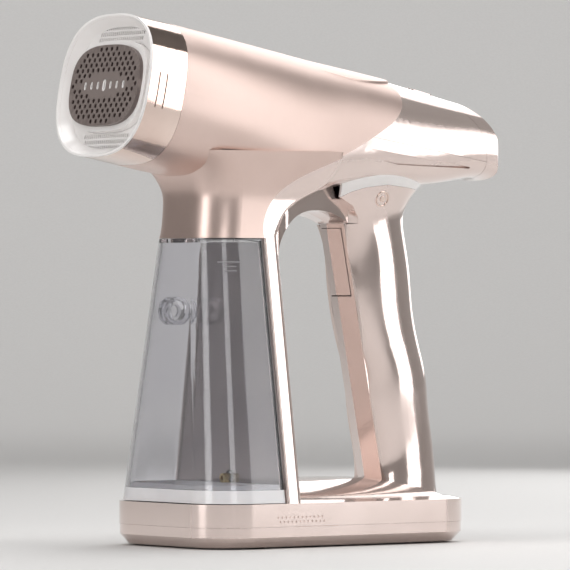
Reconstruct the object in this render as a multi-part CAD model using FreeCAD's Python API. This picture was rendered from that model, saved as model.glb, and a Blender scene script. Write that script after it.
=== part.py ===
import FreeCAD, Part
import math
import os

# Hand-held garment steamer that stands on its own base.
# Frame: +Z up, -Y is the steam face, +X is the right-hand side seen from the handle.
# Lengths are millimetres. The origin ends up under the middle of the outline, on the resting plane.

# ---------------------------------------------------------------- driving dimensions
WALL = 1.8              # moulded wall of every casing
RUN = 0.35              # gap between pieces that move past each other
PIN_FIT = 0.05          # radial running fit of pins and stems

HEAD_TILT = 10.5        # degrees, steam face looks slightly upwards
FACE_Y = -111.8         # centre of the steam face
FACE_Z = 230.3
HEAD_HALF_WIDTH = 40.5
HEAD_HALF_HEIGHT = 36.2
BAND_LENGTH = 22.0      # metal band round the head
RIM_FLANGE = 1.2
RIM_DEPTH = 6.5         # recess from the rim edge to the grille
RIM_BEVEL = 5.0
GRILLE_THICKNESS = 1.6

PANEL_HALF_WIDTH = 30.5
PANEL_HALF_HEIGHT = 20.5
PANEL_FRONT = 0.4       # distance behind the rim edge
PANEL_THICKNESS = 2.4
PLINTH_MARGIN = 2.6
STEAM_SLOTS = 7
STEAM_SLOT_PITCH = 5.7

CHAMBER_HALF_WIDTH = 27.0
CHAMBER_HALF_HEIGHT = 17.0
CHAMBER_LENGTH = 24.0
CHAMBER_WALL = 4.0
HEATER_RADIUS = 3.2

TAIL_END_Y = 118.9      # rearmost point of the tail
TAIL_CAP_LENGTH = 9.0

NECK_Z = 154.6          # joint between neck and tank
SPINE_FRONT_Y = -34.5   # wall behind the tank
SPINE_REAR_Y = -26.0
WINDOW_TOP_Z = 169.0

BASE_FRONT_Y = -80.6
BASE_REAR_Y = 90.0
BASE_HALF_WIDTH_FRONT = 52.3
BASE_HALF_WIDTH_REAR = 41.0
BASE_CORNER = 25.0
BASE_TOP_Z = 22.4
BASE_SEAM_Z = 10.9
BASE_CROWN = 1.4
SADDLE_RISE = 12.0       # hump of the base under the finger opening
BASE_CHAMFER = 5.0
FOOT_HEIGHT = 0.8

TANK_WALL = 2.0
TANK_GAP = 0.35         # all round the tank, to neck, spine and base
TANK_FLOOR_BAND = 6.5   # height of the closure at the bottom

HANDLE_HALF_WIDTH = 17.5
HANDLE_HALF_DEPTH = 22.0
HANDLE_LEAN = 0.182     # backward shift per millimetre downwards
HANDLE_MID_Y = 57.4
HANDLE_MID_Z = 97.8
STRIP_HALF_WIDTH = 10.7  # front strip between the two creases
STRIP_RIDGE = 3.2        # how far its middle ridge stands forward

TRIGGER_TOP_Z = 160.0
TRIGGER_LENGTH = 34.0
TRIGGER_SWING = 8.0     # degrees
PIN_RADIUS = 1.5

CORD_BORE_RADIUS = 3.5
CORD_GLAND_LENGTH = 16.0


# ---------------------------------------------------------------- small helpers
def vec(x, y, z):
    return FreeCAD.Vector(x, y, z)


NODES = {}


def node(name, shape):
    """Keep a finished piece under the name of its file."""
    NODES[name] = shape
    return shape


def box(x0, x1, y0, y1, z0, z1):
    return Part.makeBox(x1 - x0, y1 - y0, z1 - z0, vec(x0, y0, z0))


def rod(start, end, radius):
    axis = vec(*end) - vec(*start)
    return Part.makeCylinder(radius, axis.Length, vec(*start), axis)


def tube(start, end, outer, inner):
    return rod(start, end, outer).cut(rod(start, end, inner))


def side_prism(points, half_width, curved=False):
    """Prism through the whole width from an outline given as (y, z) points."""
    corners = [vec(-half_width, y, z) for y, z in points]
    if curved:
        curve = Part.BSplineCurve()
        curve.interpolate(corners)
        edges = [curve.toShape(), Part.makeLine(corners[-1], corners[0])]
        wire = Part.Wire(edges)
    else:
        wire = Part.makePolygon(corners + [corners[0]])
    return Part.Face(wire).extrude(vec(2 * half_width, 0, 0))


def loft(wires, ruled=False):
    return Part.makeLoft(wires, True, ruled)


def closed_spline(points):
    curve = Part.BSplineCurve()
    curve.interpolate(Points=points, PeriodicFlag=True)
    return Part.Wire([curve.toShape()])


def signed_power(value, exponent):
    return math.copysign(abs(value) ** exponent, value)


def oval(half_width, low, high, square_low, square_high, place):
    """Superellipse outline; low and high are its reach below and above, place maps it to space."""
    count = 48
    points = []
    for i in range(count):
        angle = 2 * math.pi * i / count
        square = square_high if math.sin(angle) >= 0 else square_low
        reach = high if math.sin(angle) >= 0 else low
        across = half_width * signed_power(math.cos(angle), 2 / square)
        along = reach * signed_power(math.sin(angle), 2 / square)
        points.append(place(across, along))
    return closed_spline(points)


# ---------------------------------------------------------------- the head's own frame
TILT = math.radians(HEAD_TILT)
BACK = (math.cos(TILT), -math.sin(TILT))     # (y, z) of one millimetre towards the tail
UP = (math.sin(TILT), math.cos(TILT))        # (y, z) of one millimetre up the steam face
HEAD = FreeCAD.Placement(vec(0, FACE_Y, FACE_Z), FreeCAD.Rotation(vec(1, 0, 0), 90 - HEAD_TILT))


def head_point(x, up, back):
    """Point in space from its place in the head: across, up the face, and back from the rim."""
    return vec(x, FACE_Y + back * BACK[0] + up * UP[0], FACE_Z + back * BACK[1] + up * UP[1])


def in_head(shape):
    """Place a shape modelled with x across, y up the face and z forward out of it."""
    placed = shape.copy()
    placed.Placement = HEAD.multiply(placed.Placement)
    return placed


def head_oval(half_width, half_height, front, back, square=2.7):
    """Straight prism in the head, between two distances behind the rim edge."""
    wire = oval(half_width, half_height, half_height, square, square, lambda x, y: vec(x, y, -front))
    return in_head(Part.Face(wire).extrude(vec(0, 0, front - back)))


def head_rod(x, y, front, back, radius):
    return in_head(Part.makeCylinder(radius, back - front, vec(x, y, -back), vec(0, 0, 1)))


def head_slot(x, y, width, height, front, back):
    """Upright slot with round ends, cut along the steam direction."""
    radius = width / 2
    straight = height / 2 - radius
    block = Part.makeBox(width, 2 * straight, back - front, vec(x - radius, y - straight, -back))
    ends = [Part.makeCylinder(radius, back - front, vec(x, y + k * straight, -back)) for k in (-1, 1)]
    return in_head(block.fuse(ends).removeSplitter())


# ---------------------------------------------------------------- outer skin of barrel, neck and spine
# back from the rim, half width, reach below, reach above, squareness below and above
BARREL = [
    (0.0, HEAD_HALF_WIDTH, HEAD_HALF_HEIGHT, HEAD_HALF_HEIGHT, 2.7, 2.7),
    (22.0, HEAD_HALF_WIDTH, HEAD_HALF_HEIGHT, 36.5, 2.7, 2.7),
    (60.0, 39.0, 35.5, 36.7, 2.8, 2.5),
    (95.0, 36.0, 34.5, 36.8, 3.4, 2.3),
    (119.0, 33.5, 32.0, 36.7, 4.0, 2.2),
    (140.0, 31.0, 24.2, 36.5, 4.0, 2.2),
    (169.0, 28.0, 17.0, 35.9, 3.6, 2.2),
    (200.0, 25.5, 11.0, 34.8, 3.2, 2.3),
    (236.0, 23.5, 2.0, 33.2, 3.0, 2.3),
]


def barrel_wire(station, inset=0.0):
    back, half_width, low, high, square_low, square_high = station
    middle = (high - low) / 2
    half = (high + low) / 2 - inset
    return oval(half_width - inset, half, half, square_low, square_high,
                lambda x, up: head_point(x, middle + up, back))


def barrel_loft(inset=0.0, stations=BARREL):
    return loft([barrel_wire(s, inset) for s in stations])


def plan_wire(z, front, rear, half_front, half_rear, radius_front, radius_rear):
    """Rounded trapezium in the plane at height z, symmetric about the middle."""
    corners = [(-half_front, front), (half_front, front), (half_rear, rear), (-half_rear, rear)]
    radii = [radius_front, radius_front, radius_rear, radius_rear]
    edges = []
    starts = []
    ends = []
    for i in range(4):
        here = vec(corners[i][0], corners[i][1], z)
        before = vec(corners[i - 1][0], corners[i - 1][1], z)
        after = vec(corners[(i + 1) % 4][0], corners[(i + 1) % 4][1], z)
        to_before = (before - here).normalize()
        to_after = (after - here).normalize()
        half_angle = to_before.getAngle(to_after) / 2
        reach = radii[i] / math.tan(half_angle)
        centre = here + (to_before + to_after).normalize() * (radii[i] / math.sin(half_angle))
        start = here + to_before * reach
        end = here + to_after * reach
        middle = centre + (here - centre).normalize() * radii[i]
        starts.append(start)
        ends.append(end)
        edges.append(Part.Arc(start, middle, end).toShape())
    ordered = []
    for i in range(4):
        ordered.append(edges[i])
        ordered.append(Part.makeLine(ends[i], starts[(i + 1) % 4]))
    return Part.Wire(ordered)


# height, front, rear, half width, front corner radius
NECK = [
    (NECK_Z, -67.4, SPINE_REAR_Y, 29.0, 18.0),
    (164.0, -66.0, -21.0, 28.4, 18.0),
    (173.5, -65.4, -11.0, 28.6, 18.0),
    (180.0, -66.0, 2.0, 30.0, 18.0),
    (186.0, -68.5, 8.0, 32.4, 18.0),
    (192.0, -73.5, 10.0, 35.2, 19.0),
    (198.0, -80.0, 10.0, 37.4, 20.0),
]
TANK_FOOT_Z = BASE_TOP_Z + TANK_GAP
TANK_TOP_Z = NECK_Z - TANK_GAP
TANK_FRONT_FOOT = -77.2
TANK_FRONT_TOP = -67.4
TANK_HALF_FOOT = 50.0
TANK_HALF_TOP = 29.0
TANK_CORNER_FOOT = 22.0
TANK_CORNER_TOP = 18.0


def tank_value(foot, top, z):
    share = (z - BASE_TOP_Z) / (NECK_Z - BASE_TOP_Z)
    return foot + (top - foot) * share


def neck_loft(inset, lowest=NECK_Z):
    rear_corner = 4.0
    wires = []
    for z, front, rear, half, corner in NECK:
        height = max(z, lowest)
        wires.append(plan_wire(height, front + inset, rear - inset, half - inset, half - inset,
                               corner - inset, rear_corner - inset / 2))
    return loft(wires)


def column_wire(z, front, rear, inset, corner_front, corner_rear):
    half = tank_value(TANK_HALF_FOOT, TANK_HALF_TOP, z) - inset
    return plan_wire(z, front, rear, half, half, corner_front, corner_rear)


def spine_loft(inset, low, high):
    wires = [column_wire(z, SPINE_FRONT_Y + inset, SPINE_REAR_Y - inset, inset, 1.0, 2.6 - inset / 2)
             for z in (low, high)]
    return loft(wires, True)


outer_skin = barrel_loft().fuse([neck_loft(0.0), spine_loft(0.0, BASE_TOP_Z, NECK_Z + 4)])
inner_neck = neck_loft(WALL).common(box(-60, 60, -120, 120, NECK_Z + WALL, 260))
inner_spine = spine_loft(WALL, BASE_TOP_Z - 1, NECK_Z + 12)
inner_skin = barrel_loft(WALL).fuse([inner_neck, inner_spine])

# Seam between the satin front shell and the glossy rear frame, as (y, z) from crown to tank.
SEAM = [(54.1, 232.0), (54.6, 225.0), (51.6, 219.7), (39.3, 210.1), (18.7, 199.4), (-1.1, 191.0),
        (-14.0, 185.3), (-27.0, 176.1), (-33.6, 165.6), (SPINE_FRONT_Y, NECK_Z)]
WIDE = 80.0


def seam_block():
    """Everything behind and below the seam."""
    curve = Part.BSplineCurve()
    points = [vec(-WIDE, y, z) for y, z in SEAM]
    curve.interpolate(points)
    corners = [points[-1], vec(-WIDE, SPINE_FRONT_Y, 0), vec(-WIDE, 200, 0), vec(-WIDE, 200, 290),
               vec(-WIDE, 54.1, 290), points[0]]
    edges = [curve.toShape()]
    edges += [Part.makeLine(a, b) for a, b in zip(corners, corners[1:])]
    return Part.Face(Part.Wire(edges)).extrude(vec(2 * WIDE, 0, 0))


REAR = seam_block()
behind_band = in_head(Part.makeBox(200, 400, 300, vec(-100, -300, -300 - BAND_LENGTH - 0.15)))


# ---------------------------------------------------------------- rear limit of the tail
# distance before the end and height, from the underside to the crown
TAIL_CURVE = [(5.0, 168.0), (2.4, 178.0), (0.3, 185.5), (0.0, 190.0), (1.0, 198.0), (2.6, 205.0),
              (5.4, 211.0), (9.6, 216.8), (15.0, 222.0)]
TAIL_CROWN = [(24.0, 229.5), (40.0, 238.0), (52.0, 290.0)]
CAP_CROWN = [(16.5, 229.5), (18.0, 238.0), (19.0, 290.0)]


def tail_profile(shift, crown=TAIL_CROWN):
    """Everything in front of the tail's rounded end, moved forward by shift."""
    end = TAIL_END_Y - shift
    curve = Part.BSplineCurve()
    bend = [vec(-WIDE, end - before, z) for before, z in TAIL_CURVE + crown[:2]]
    curve.interpolate(bend)
    corners = [bend[-1], vec(-WIDE, end - crown[2][0], crown[2][1]), vec(-WIDE, -140, crown[2][1]),
               vec(-WIDE, -140, -10), vec(-WIDE, end - TAIL_CURVE[0][0], -10), bend[0]]
    edges = [curve.toShape()] + [Part.makeLine(a, b) for a, b in zip(corners, corners[1:])]
    return Part.Face(Part.Wire(edges)).extrude(vec(2 * WIDE, 0, 0))


def tail_plan(inset):
    """Everything inside the tail's rounded rear corners seen from above."""
    wires = [plan_wire(z, -140, TAIL_END_Y + 0.5 - inset, WIDE, 24.5 - inset, 5, 11 - inset)
             for z in (-20, 300)]
    return loft(wires, True)


skin_outer = outer_skin.common(tail_profile(0)).common(tail_plan(0))
skin_inner = inner_skin.common(tail_profile(WALL)).common(tail_plan(WALL))
shell = skin_outer.cut(skin_inner).common(behind_band)
front_shell = shell.cut(REAR)
rear_shell = shell.common(REAR)

# ---------------------------------------------------------------- raised rim of the crown
# The satin shell ends over the tail in a raised, rounded lip that fades out towards the head.
CROWN_LIP = 1.3


def crown_loft(rise_front, rise_rear):
    lifted = []
    for back, half_width, low, high, square_low, square_high in BARREL[3:8]:
        share = min(1.0, max(0.0, (back - BARREL[3][0]) / (169.0 - BARREL[3][0])))
        rise = rise_front + (rise_rear - rise_front) * share
        lifted.append((back, half_width + rise, low, high + rise, square_low, square_high))
    return barrel_loft(0.0, lifted)


crown_plan = []
for step in range(13):
    angle = math.pi * step / 12
    crown_plan.append(vec(21.0 * math.cos(angle), 0, -130.0 - 40.0 * math.sin(angle)))
crown_edge = Part.BSplineCurve()
crown_edge.interpolate(crown_plan)
crown_wire = Part.Wire([crown_edge.toShape(),
                        Part.makePolygon([crown_plan[-1], vec(-21, 0, -60), vec(21, 0, -60), crown_plan[0]])])
crown_zone = in_head(Part.Face(crown_wire).extrude(vec(0, 60, 0)))
crown = crown_loft(-0.4, CROWN_LIP).common(crown_zone).cut(skin_outer)
crown_solid = max(crown.Solids, key=lambda piece: piece.Volume)
front_shell = front_shell.fuse(crown_solid.cut(REAR)).removeSplitter()

slot_recess = []
for back, shift in ((6.2, 0.0), (10.6, 0.0)):
    slot_recess.append(in_head(Part.makeBox(100, 17.4, 0.9, vec(0, -11.0, -back - 0.45))))

# ---------------------------------------------------------------- head, from the face inwards
band_outer = loft([barrel_wire((RIM_FLANGE,) + BARREL[0][1:]), barrel_wire(BARREL[1])])
band_inner = loft([barrel_wire((back,) + BARREL[0][1:], WALL) for back in (RIM_FLANGE - 1, BAND_LENGTH + 1)])
band = band_outer.cut(band_inner)
slot_floor = loft([barrel_wire((back,) + BARREL[0][1:], 0.5) for back in (RIM_FLANGE - 1, BAND_LENGTH + 1)])
slots = slot_recess[0].fuse(slot_recess[1]).cut(slot_floor)
node("head_band", band.cut(slots))

seat_width = HEAD_HALF_WIDTH - WALL - 0.05
seat_height = HEAD_HALF_HEIGHT - WALL - 0.05
rim_body = head_oval(HEAD_HALF_WIDTH, HEAD_HALF_HEIGHT, 0, RIM_FLANGE)
rim_body = rim_body.fuse(head_oval(seat_width, seat_height, RIM_FLANGE, RIM_DEPTH))
rim_mouth = loft([
    oval(HEAD_HALF_WIDTH - inset, HEAD_HALF_HEIGHT - inset, HEAD_HALF_HEIGHT - inset, 2.7, 2.7,
         lambda x, up, back=back: head_point(x, up, back))
    for back, inset in ((-0.5, 0.7), (RIM_DEPTH + 0.5, 0.7 + RIM_BEVEL))], True)
node("front_rim", rim_body.removeSplitter().cut(rim_mouth))

plinth_width = PANEL_HALF_WIDTH + PLINTH_MARGIN
plinth_height = PANEL_HALF_HEIGHT + PLINTH_MARGIN
grille_back = RIM_DEPTH + GRILLE_THICKNESS
grille = head_oval(seat_width, seat_height, RIM_DEPTH, grille_back)
grille = grille.cut(head_oval(plinth_width + 0.1, plinth_height + 0.1, RIM_DEPTH - 1, grille_back + 1, 2.9))
perforations = []
for row in range(3):
    for side in (-1, 1):
        height = side * (24.6 + 2.9 * row)
        for column in range(-11, 12):
            x = column * 1.75 + (0.875 if row == 1 else 0.0)
            reach = abs(x / (HEAD_HALF_WIDTH - 6.6)) ** 2.7 + abs(height / (HEAD_HALF_HEIGHT - 4.4)) ** 2.7
            if reach < 1.0:
                perforations.append(head_slot(x, height, 0.8, 2.1, RIM_DEPTH - 1, grille_back + 1))
node("grille_ring", grille.cut(Part.makeCompound(perforations)))

panel_back = PANEL_FRONT + PANEL_THICKNESS
plinth_back = grille_back + 1.2
plinth = head_oval(plinth_width, plinth_height, panel_back, plinth_back, 2.9)
plinth = plinth.fuse(head_oval(plinth_width + 2, plinth_height + 2, grille_back, plinth_back, 2.9))
PORT_SLIT = 0.9
steam_ports = []
port_bosses = []
port_slits = []
for i in range(STEAM_SLOTS):
    step = i - (STEAM_SLOTS - 1) / 2
    width, height = (3.6, 6.2) if step == 0 else (2.6, 4.2)
    x = step * STEAM_SLOT_PITCH
    steam_ports.append(head_slot(x, 0, width, height, PANEL_FRONT - 1, panel_back + 1))
    port_bosses.append(head_slot(x, 0, width - 0.2, height - 0.2, PANEL_FRONT + 0.4, panel_back + 1))
    port_slits.append(head_slot(x, 0, PORT_SLIT, height - 1.6, PANEL_FRONT - 1, plinth_back + 1))
steam_ports = Part.makeCompound(steam_ports)
node("plate_plinth", plinth.fuse(port_bosses).removeSplitter().cut(Part.makeCompound(port_slits)))

panel = head_oval(PANEL_HALF_WIDTH, PANEL_HALF_HEIGHT, PANEL_FRONT, panel_back, 2.9)
dimples = []
for row in range(-7, 8):
    for column in range(-6, 7):
        x = column * 4.7 + (2.35 if row % 2 else 0.0)
        y = row * 2.6
        in_lens = abs(y) < 5.6 * (1 - (x / 25.0) ** 2) + 0.4
        reach = abs(x / (PANEL_HALF_WIDTH - 2.2)) ** 2.9 + abs(y / (PANEL_HALF_HEIGHT - 2.0)) ** 2.9
        if reach < 1.0 and not in_lens:
            dimples.append(head_rod(x, y, PANEL_FRONT - 1, PANEL_FRONT + 1.2, 1.15))
node("steam_plate", panel.cut(steam_ports).cut(Part.makeCompound(dimples)))

gasket_back = plinth_back + 1.5
gasket = head_oval(CHAMBER_HALF_WIDTH, CHAMBER_HALF_HEIGHT, plinth_back, gasket_back)
node("chamber_gasket", gasket.cut(head_oval(CHAMBER_HALF_WIDTH - CHAMBER_WALL, CHAMBER_HALF_HEIGHT - CHAMBER_WALL,
                                            plinth_back - 1, gasket_back + 1)))

chamber_back = gasket_back + CHAMBER_LENGTH
block = head_oval(CHAMBER_HALF_WIDTH, CHAMBER_HALF_HEIGHT, gasket_back, chamber_back)
pocket = head_oval(CHAMBER_HALF_WIDTH - CHAMBER_WALL, CHAMBER_HALF_HEIGHT - CHAMBER_WALL,
                   gasket_back + CHAMBER_WALL, chamber_back + 1)
rib = in_head(Part.makeBox(2 * CHAMBER_HALF_WIDTH - 14, 3, CHAMBER_LENGTH - CHAMBER_WALL,
                           vec(-CHAMBER_HALF_WIDTH + 2, -1.5, -chamber_back)))
rib_in_block = rib.common(pocket)
chamber_slits = [head_slot((i - (STEAM_SLOTS - 1) / 2) * STEAM_SLOT_PITCH, 0, PORT_SLIT, 2.6, gasket_back - 1,
                           gasket_back + CHAMBER_WALL + 1) for i in range(STEAM_SLOTS)]
block = block.cut(pocket).fuse(rib_in_block).removeSplitter().cut(Part.makeCompound(chamber_slits))
screw_places = [(-20, 14.5), (20, 14.5), (-20, -14.5), (20, -14.5)]


def heater(radius):
    """U-shaped tubular element along the block, ends pointing to the tail."""
    front = gasket_back + CHAMBER_WALL + 11.0 + radius + 0.4
    end = chamber_back + 14.0
    legs = [head_rod(x, 7.5, front, end, radius) for x in (-11.0, 11.0)]
    bend = Part.makeTorus(11.0, radius, vec(0, 0, 0), vec(0, 1, 0))
    bend = bend.common(Part.makeBox(60, 60, 60, vec(-30, -30, 0)))
    bend.translate(vec(0, 7.5, -front))
    return in_head(bend).fuse(legs).removeSplitter()


lid_back = chamber_back + 3.0
lid = head_oval(CHAMBER_HALF_WIDTH, CHAMBER_HALF_HEIGHT, chamber_back, lid_back)
lid_ports = [head_rod(x, 7.5, chamber_back - 1, lid_back + 1, HEATER_RADIUS + 0.2) for x in (-11.0, 11.0)]
inlet = head_rod(0, -8.0, lid_back, lid_back + 8, 2.6)
inlet_bore = head_rod(0, -8.0, chamber_back - 1, lid_back + 9, 1.3)
screw_holes = [head_rod(x, y, chamber_back - 8, lid_back + 1, 1.35) for x, y in screw_places]
node("steam_chamber", block.cut(Part.makeCompound(screw_holes)))
node("chamber_lid", lid.fuse(inlet).cut(Part.makeCompound(lid_ports + [inlet_bore] + screw_holes)))
node("heating_element", heater(HEATER_RADIUS))
screws = []
for x, y in screw_places:
    shank = head_rod(x, y, chamber_back - 7, lid_back, 1.3)
    head = head_rod(x, y, lid_back, lid_back + 1.8, 2.6)
    screws.append(shank.fuse(head).removeSplitter())
node("chamber_screws", Part.makeCompound(screws))
node("thermostat", head_rod(0, 1.5, lid_back, lid_back + 4, 5.5).fuse(
    head_rod(0, 1.5, lid_back + 4, lid_back + 9, 4.0)).removeSplitter())
node("thermal_fuse", in_head(Part.makeCylinder(1.6, 12, vec(-21.5, -6, -lid_back - 1.7), vec(0, 1, 0))))

# ---------------------------------------------------------------- base, housing and cover


def base_wire(z, inset):
    return plan_wire(z, BASE_FRONT_Y + inset, BASE_REAR_Y - inset, BASE_HALF_WIDTH_FRONT - inset,
                     BASE_HALF_WIDTH_REAR - inset, BASE_CORNER - inset, BASE_CORNER - 2 - inset)


def base_slab(levels):
    pieces = [loft([base_wire(z0, i0), base_wire(z1, i1)], True)
              for (z0, i0), (z1, i1) in zip(levels, levels[1:])]
    whole = pieces[0]
    for piece in pieces[1:]:
        whole = whole.fuse(piece)
    return whole.removeSplitter()


CROWN_INSET = 7.0
# along the base: where, half width and rise of the saddle
SADDLE = [(SPINE_REAR_Y + 0.2, 41.0, SADDLE_RISE), (10.0, 40.0, SADDLE_RISE - 0.6), (45.0, 37.0, SADDLE_RISE - 1.4),
          (70.0, 32.0, SADDLE_RISE - 5.0), (84.0, 25.0, 2.0)]


def saddle_loft(inset):
    """Smooth hump on the base; inset gives the hollow below it."""
    wires = []
    for y, half_width, rise in SADDLE:
        low = BASE_TOP_Z - 0.5 - 2 * inset
        across = []
        for k in range(13):
            angle = math.pi * k / 12
            height = BASE_TOP_Z - inset + rise * math.sin(angle) ** 1.4
            across.append(vec((half_width - 2 * inset) * math.cos(angle), y, height))
        curve = Part.BSplineCurve()
        curve.interpolate(across)
        corners = [across[-1], vec(across[-1].x, y, low), vec(across[0].x, y, low), across[0]]
        wires.append(Part.Wire([curve.toShape()] + [Part.makeLine(a, b) for a, b in zip(corners, corners[1:])]))
    return loft(wires)


base_body = base_slab([(BASE_SEAM_Z, 0.0), (BASE_TOP_Z, 0.0)])
crown_top = base_slab([(BASE_TOP_Z, 0.4), (BASE_TOP_Z + BASE_CROWN, CROWN_INSET)])
crown_top = crown_top.common(box(-WIDE, WIDE, SPINE_REAR_Y + 0.2, 120, 0, 60))
base_outer = base_body.fuse([crown_top, saddle_loft(0.0)]).removeSplitter()
base_hollow = base_slab([(BASE_SEAM_Z - 1, WALL), (BASE_TOP_Z - WALL, WALL)])
saddle_hollow = saddle_loft(WALL).common(box(-WIDE, WIDE, SPINE_REAR_Y + 2 * WALL, 62, 0, 60))
hose_gap = box(-20, 20, SPINE_FRONT_Y + WALL, SPINE_REAR_Y - WALL, BASE_TOP_Z - WALL - 1, BASE_TOP_Z + 8)
wire_gap = rod((0, 68.5, BASE_TOP_Z - WALL - 1), (0, 68.5, BASE_TOP_Z + SADDLE_RISE), 6.0)
gland_z = 16.5
gland_hole = rod((0, BASE_REAR_Y - 6, gland_z), (0, BASE_REAR_Y + 6, gland_z), 4.6)
grip_dots = []
for i in range(12):
    for row in (0, 1):
        y = -40.5 + 2.55 * i + 1.27 * row
        grip_dots.append(rod((30, y, 15.6 - 2.2 * row), (60, y, 15.6 - 2.2 * row), 0.55))
dot_floor = base_slab([(BASE_SEAM_Z - 1, 0.5), (BASE_TOP_Z, 0.5)])
grip_dots = Part.makeCompound(grip_dots).cut(dot_floor)
boss_places = [(-36, -58), (36, -58), (-27, 66), (27, 66)]
bosses = [tube((x, y, BASE_SEAM_Z), (x, y, BASE_TOP_Z - WALL), 3.4, 1.2) for x, y in boss_places]
housing = base_outer.cut(base_hollow).cut(saddle_hollow).cut(hose_gap).cut(wire_gap).cut(gland_hole).cut(grip_dots)
node("base_housing", housing.fuse(bosses).removeSplitter())

cover_top = BASE_SEAM_Z - 0.1
cover_outer = base_slab([(FOOT_HEIGHT, BASE_CHAMFER), (FOOT_HEIGHT + BASE_CHAMFER, 0.25), (cover_top, 0.25)])
cover_inner = base_slab([(FOOT_HEIGHT + WALL, BASE_CHAMFER + WALL), (FOOT_HEIGHT + BASE_CHAMFER, WALL + 0.25),
                         (cover_top + 1, WALL + 0.25)])
cover_bosses = [rod((x, y, FOOT_HEIGHT + 0.5), (x, y, cover_top), 3.4) for x, y in boss_places]
cover_holes = []
for x, y in boss_places:
    cover_holes.append(rod((x, y, FOOT_HEIGHT - 1), (x, y, cover_top + 1), 1.6))
    cover_holes.append(rod((x, y, FOOT_HEIGHT - 1), (x, y, FOOT_HEIGHT + 4), 3.0))
foot_places = [(-34, -44), (34, -44), (-25, 52), (25, 52)]
FOOT_RADIUS = 5.0
foot_seats = [rod((x, y, 0), (x, y, FOOT_HEIGHT + 0.7), FOOT_RADIUS) for x, y in foot_places]
cover = cover_outer.cut(cover_inner).fuse(cover_bosses)
node("base_cover", cover.cut(Part.makeCompound(cover_holes + foot_seats)))
node("rubber_feet", Part.makeCompound([rod((x, y, 0), (x, y, FOOT_HEIGHT + 0.7), FOOT_RADIUS)
                                       for x, y in foot_places]))
base_screws = []
for x, y in boss_places:
    base_screws.append(rod((x, y, FOOT_HEIGHT + 2.2), (x, y, FOOT_HEIGHT + 4), 2.7).fuse(
        rod((x, y, FOOT_HEIGHT + 4), (x, y, BASE_SEAM_Z + 7), 1.15)).removeSplitter())
node("base_screws", Part.makeCompound(base_screws))

gland = tube((0, BASE_REAR_Y - CORD_GLAND_LENGTH + 2, gland_z), (0, BASE_REAR_Y + 2, gland_z), 4.5,
             CORD_BORE_RADIUS)
gland = gland.fuse([tube((0, BASE_REAR_Y, gland_z), (0, BASE_REAR_Y + 2, gland_z), 5.4, CORD_BORE_RADIUS),
                    tube((0, BASE_REAR_Y - WALL - 1.5, gland_z), (0, BASE_REAR_Y - WALL, gland_z), 5.4,
                         CORD_BORE_RADIUS)])
gland = gland.cut(rod((0, BASE_REAR_Y - 20, gland_z), (0, BASE_REAR_Y + 4, gland_z), CORD_BORE_RADIUS))
node("cord_gland", gland.common(box(-9, 9, 0, 120, 0, BASE_TOP_Z - WALL)).removeSplitter())

BLOCK_Y = 56.35
node("terminal_block", box(-10, 10, BLOCK_Y - 3.3, BLOCK_Y + 3.3, FOOT_HEIGHT + WALL, 12.5).cut(
    Part.makeCompound([rod((x, BLOCK_Y, 6), (x, BLOCK_Y, 13), 1.6) for x in (-6, 0, 6)])))

# ---------------------------------------------------------------- water pump in the base
PUMP_Z = 11.6
PUMP_Y = -6.0
PUMP_LENGTH = 40.0
PLUNGER_RADIUS = 2.4
PUMP_STROKE = 2.0
pump_end = PUMP_Y + PUMP_LENGTH
pump = rod((0, PUMP_Y, PUMP_Z), (0, pump_end, PUMP_Z), 4.2)
pump = pump.fuse([rod((0, PUMP_Y - 6, PUMP_Z), (0, PUMP_Y, PUMP_Z), 2.0),
                  rod((0, pump_end, PUMP_Z), (0, pump_end + 6, PUMP_Z), 2.0)])
pump = pump.cut(rod((0, PUMP_Y + 3, PUMP_Z), (0, pump_end - 3, PUMP_Z), PLUNGER_RADIUS + PIN_FIT))
pump = pump.cut(rod((0, PUMP_Y - 7, PUMP_Z), (0, pump_end + 7, PUMP_Z), 0.9))
node("pump_body", pump.removeSplitter())
node("pump_coil", tube((0, PUMP_Y + 8, PUMP_Z), (0, PUMP_Y + 32, PUMP_Z), 8.4, 4.25))
plunger_front = PUMP_Y + 12.0
node("pump_plunger", tube((0, plunger_front, PUMP_Z), (0, plunger_front + 16, PUMP_Z), PLUNGER_RADIUS, 0.7))


def helix_spring(radius, wire_radius, turns, start, direction, length):
    """Round-wire compression spring from start along direction."""
    helix = Part.makeHelix(length / turns, length, radius)
    profile = Part.Wire([Part.makeCircle(wire_radius, vec(radius, 0, 0), vec(0, 1, 0))])
    coil = Part.Wire(helix.Edges).makePipeShell([profile], True, True)
    turn = FreeCAD.Rotation(vec(0, 0, 1), vec(*direction))
    coil.Placement = FreeCAD.Placement(vec(*start), turn)
    return coil


node("pump_spring", helix_spring(1.9, 0.3, 6, (0, PUMP_Y + 3.4, PUMP_Z), (0, 1, 0), 8.2))


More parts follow.
